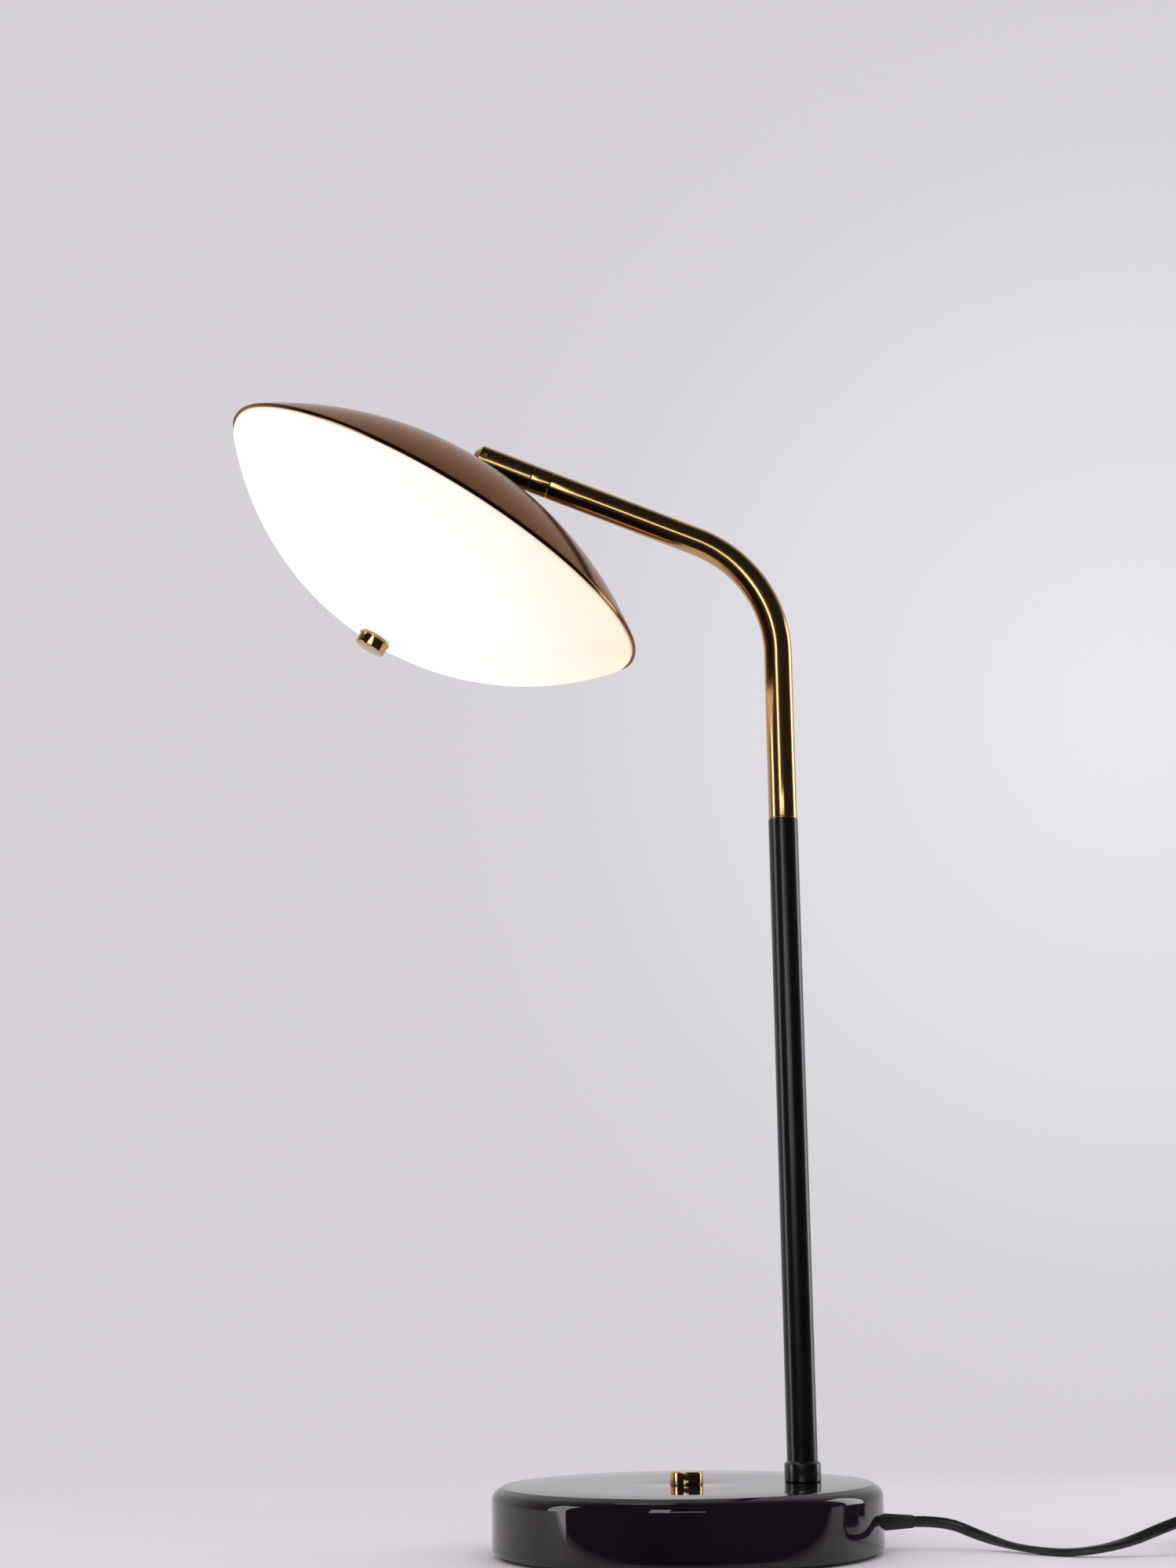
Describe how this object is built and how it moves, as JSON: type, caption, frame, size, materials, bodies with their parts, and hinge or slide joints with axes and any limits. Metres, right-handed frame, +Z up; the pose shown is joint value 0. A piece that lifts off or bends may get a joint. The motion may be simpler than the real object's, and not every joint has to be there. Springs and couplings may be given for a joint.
{
  "type": "desk lamp",
  "caption": "Desk lamp with a round weighted base, a side post, a bent brass arm that turns, and a shallow dome shade closed by lit opal glass that swivels and tilts.",
  "frame": {"origin": "centre of the round base, on the surface that it stands on", "axes": "+Z up, the post stands towards +X and the cord leaves there, the arm leads back towards -X, +Y is away from the viewer of the picture"},
  "size_m": [0.5438, 0.23, 0.5442],
  "materials": {
    "base_lacquer": "high-gloss plum-black lacquer",
    "post_lacquer": "satin black lacquer",
    "collar_lacquer": "semi-gloss black lacquer",
    "satin_brass": "satin brass, drawn tube",
    "polished_brass": "polished turned brass",
    "shade_lacquer": "glossy bronze lacquer on spun metal",
    "opal_glass": "lit opal white glass, satin",
    "bare_steel": "zinc-plated steel",
    "turned_brass": "plain turned brass",
    "weight_iron": "raw sand-cast iron",
    "bearing_plastic": "black acetal",
    "soft_rubber": "soft black rubber",
    "board_metal": "plain aluminium",
    "board_mask": "white solder mask",
    "chip_yellow": "phosphor cover of a light chip",
    "case_plastic": "white moulded case",
    "cord_sheath": "black smooth sheath",
    "lead_sheath": "grey lead sheath",
    "pin_metal": "nickel-plated pins"
  },
  "bodies": {
    "base": {"base_shell": "base_lacquer", "base_weight": "weight_iron", "bottom_cover": "bare_steel", "foot_ring": "soft_rubber", "cover_screws": "bare_steel", "switch_module": "case_plastic", "button_spring": "bare_steel", "driver_case": "case_plastic", "terminal_block": "case_plastic", "post_collar": "collar_lacquer", "post_tube": "post_lacquer", "post_bush": "turned_brass", "stem_nipple": "bare_steel", "nipple_washer": "bare_steel", "nipple_nut": "bare_steel", "seam_washer": "satin_brass", "turning_sleeve": "turned_brass", "strain_relief": "soft_rubber", "cord": "cord_sheath", "cord_coil": "cord_sheath", "plug_body": "cord_sheath", "plug_pins": "pin_metal", "mains_lead": "cord_sheath", "post_lead": "lead_sheath"},
    "button": {"dimmer_button": "polished_brass"},
    "arm": {"arm_tube": "satin_brass", "arm_bush": "turned_brass", "swivel_ring": "satin_brass", "arm_lead": "lead_sheath"},
    "swivel": {"swivel_stud": "bare_steel", "spring_washer": "bare_steel", "stud_nut": "bare_steel", "thrust_washer": "bearing_plastic", "knuckle": "satin_brass", "pivot_pin": "bare_steel", "pivot_washers": "bearing_plastic"},
    "head": {"shade_stem": "turned_brass", "head_lead": "lead_sheath", "shade_shell": "shade_lacquer", "gallery_ring": "bare_steel", "glass_gasket": "soft_rubber", "opal_diffuser": "opal_glass", "light_carrier": "board_metal", "light_board": "board_mask", "light_chips": "chip_yellow", "shell_washer": "bare_steel", "stem_nuts": "bare_steel", "finial_rod": "bare_steel", "finial_gasket": "soft_rubber", "finial": "polished_brass"}
  },
  "joints": [
    {"name": "button_press", "type": "slide", "parent": "base", "child": "button", "axis": [0, 0, -1], "range_m": [0, 0.002], "stiffness_N_per_m": 800, "springref_m": -0.002, "deforming": ["button_spring"]},
    {"name": "arm_turn", "type": "hinge", "parent": "base", "child": "arm", "pos_m": [0.054, 0, 0.343], "axis": [0, 0, 1], "range_deg": [-170, 170]},
    {"name": "head_swivel", "type": "hinge", "parent": "arm", "child": "swivel", "pos_m": [0.01486, 0, 0.4846], "axis": [-0.9291, 0, 0.3697], "range_deg": [-160, 160]},
    {"name": "head_tilt", "type": "hinge", "parent": "swivel", "child": "head", "pos_m": [-0.09097, 0, 0.52671], "axis": [0, 1, 0], "range_deg": [-15, 40]}
  ]
}
